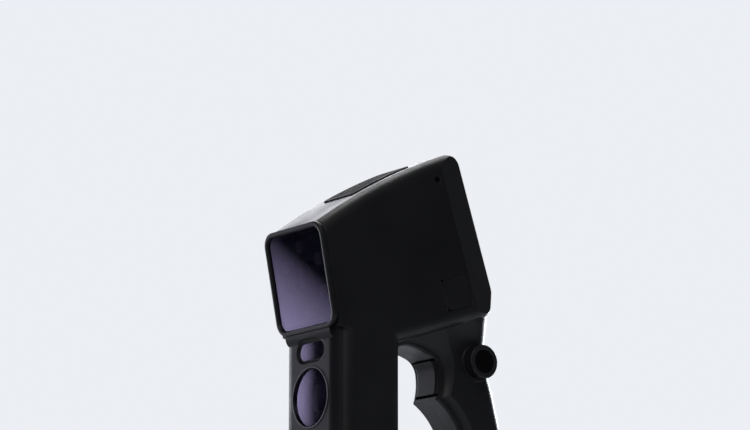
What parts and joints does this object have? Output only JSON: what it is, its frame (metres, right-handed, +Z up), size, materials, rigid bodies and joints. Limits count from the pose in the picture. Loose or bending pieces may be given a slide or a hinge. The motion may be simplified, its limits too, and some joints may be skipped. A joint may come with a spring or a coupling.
{
  "type": "handheld 3-d scanner",
  "caption": "Handheld 3-D scanner with a leaning window head, front column, D-shaped pistol grip with a sprung trigger, press-and-turn dial, hinged port flap, vent fan and power button.",
  "frame": {"origin": "middle of the footprint, on the plane under the feet", "axes": "+Z up, the windows face -Y, +X is the user's left hand side where the dial and the flap are"},
  "size_m": [0.059, 0.1632, 0.2366],
  "materials": {
    "casing_black": "satin",
    "rear_black": "satin",
    "fascia_black": "satin gloss",
    "vent_grey": "matte",
    "coated_glass": "violet anti-reflection coating",
    "display_glass": "dark, glossy",
    "lens_glass": "clear",
    "ring_metal": "turned",
    "screw_steel": "bare",
    "tripod_brass": "turned",
    "foot_rubber": "matte",
    "flap_rubber": "matte",
    "bench_aluminium": "dark anodised",
    "board_green": "solder mask",
    "inner_black": "moulded",
    "trigger_black": "satin",
    "dial_black": "knurled, matte",
    "dial_cap_black": "brushed",
    "button_grey": "matte",
    "cell_wrap": "shrink sleeve"
  },
  "bodies": {
    "casing": {"left_shell": "casing_black", "right_shell": "casing_black", "rear_housing": "rear_black", "column_fascia": "fascia_black", "head_bezel": "casing_black", "vent_panel": "vent_grey", "base_plate": "casing_black", "tripod_insert": "tripod_brass", "feet": "foot_rubber", "casing_screws": "screw_steel", "base_screws": "screw_steel", "head_window": "coated_glass", "pill_window": "coated_glass", "round_window": "coated_glass", "round_window_ring": "ring_metal", "lamp_board": "board_green", "lamp_lenses": "lens_glass", "head_bench": "bench_aluminium", "upper_barrel": "bench_aluminium", "upper_lens": "lens_glass", "upper_camera": "bench_aluminium", "column_bench": "bench_aluminium", "lower_barrel": "bench_aluminium", "lower_lens": "lens_glass", "lower_camera": "bench_aluminium", "laser_module": "bench_aluminium", "fan_frame": "inner_black", "heat_sink": "bench_aluminium", "processor": "inner_black", "main_board": "board_green", "display_glass": "display_glass", "display_panel": "inner_black", "power_switch": "inner_black", "trigger_pin": "screw_steel", "trigger_spring": "screw_steel", "trigger_switch": "inner_black", "encoder_body": "inner_black", "flap_pin": "screw_steel", "port_socket": "screw_steel", "port_board": "board_green", "battery_sleeve": "inner_black", "battery_cell": "cell_wrap", "battery_contact": "screw_steel"},
    "trigger": {"trigger": "trigger_black"},
    "dial_press": {"dial_plunger": "screw_steel"},
    "dial": {"dial_shaft": "screw_steel", "dial_knob": "dial_black", "dial_cap": "dial_cap_black"},
    "port_flap": {"port_flap": "flap_rubber"},
    "fan": {"fan_rotor": "inner_black"},
    "power_button": {"power_button": "button_grey"}
  },
  "joints": [
    {"name": "trigger_pull", "type": "hinge", "parent": "casing", "child": "trigger", "pos_m": [0, 0.0232, 0.1105], "axis": [1, 0, 0], "range_deg": [0, 8], "stiffness_Nm_per_rad": 0.15, "springref_deg": -6.88, "deforming": ["trigger_spring"]},
    {"name": "dial_press", "type": "slide", "parent": "casing", "child": "dial_press", "axis": [-1, 0, 0], "range_m": [0, 0.0006], "stiffness_N_per_m": 2500, "springref_m": -0.0008},
    {"name": "dial_turn", "type": "hinge", "parent": "dial_press", "child": "dial", "pos_m": [0.0233, 0.0412, 0.113], "axis": [1, 0, 0], "continuous": true},
    {"name": "flap_open", "type": "hinge", "parent": "casing", "child": "port_flap", "pos_m": [0.0283, 0.00937, 0.14877], "axis": [0, 0.309, -0.9511], "range_deg": [0, 90]},
    {"name": "fan_spin", "type": "hinge", "parent": "casing", "child": "fan", "pos_m": [0, -0.0299, 0.21551], "axis": [0, -0.4784, 0.8781], "continuous": true},
    {"name": "power_press", "type": "slide", "parent": "casing", "child": "power_button", "axis": [0, -0.9511, -0.309], "range_m": [0, 0.0008], "stiffness_N_per_m": 2000, "springref_m": -0.0008}
  ]
}
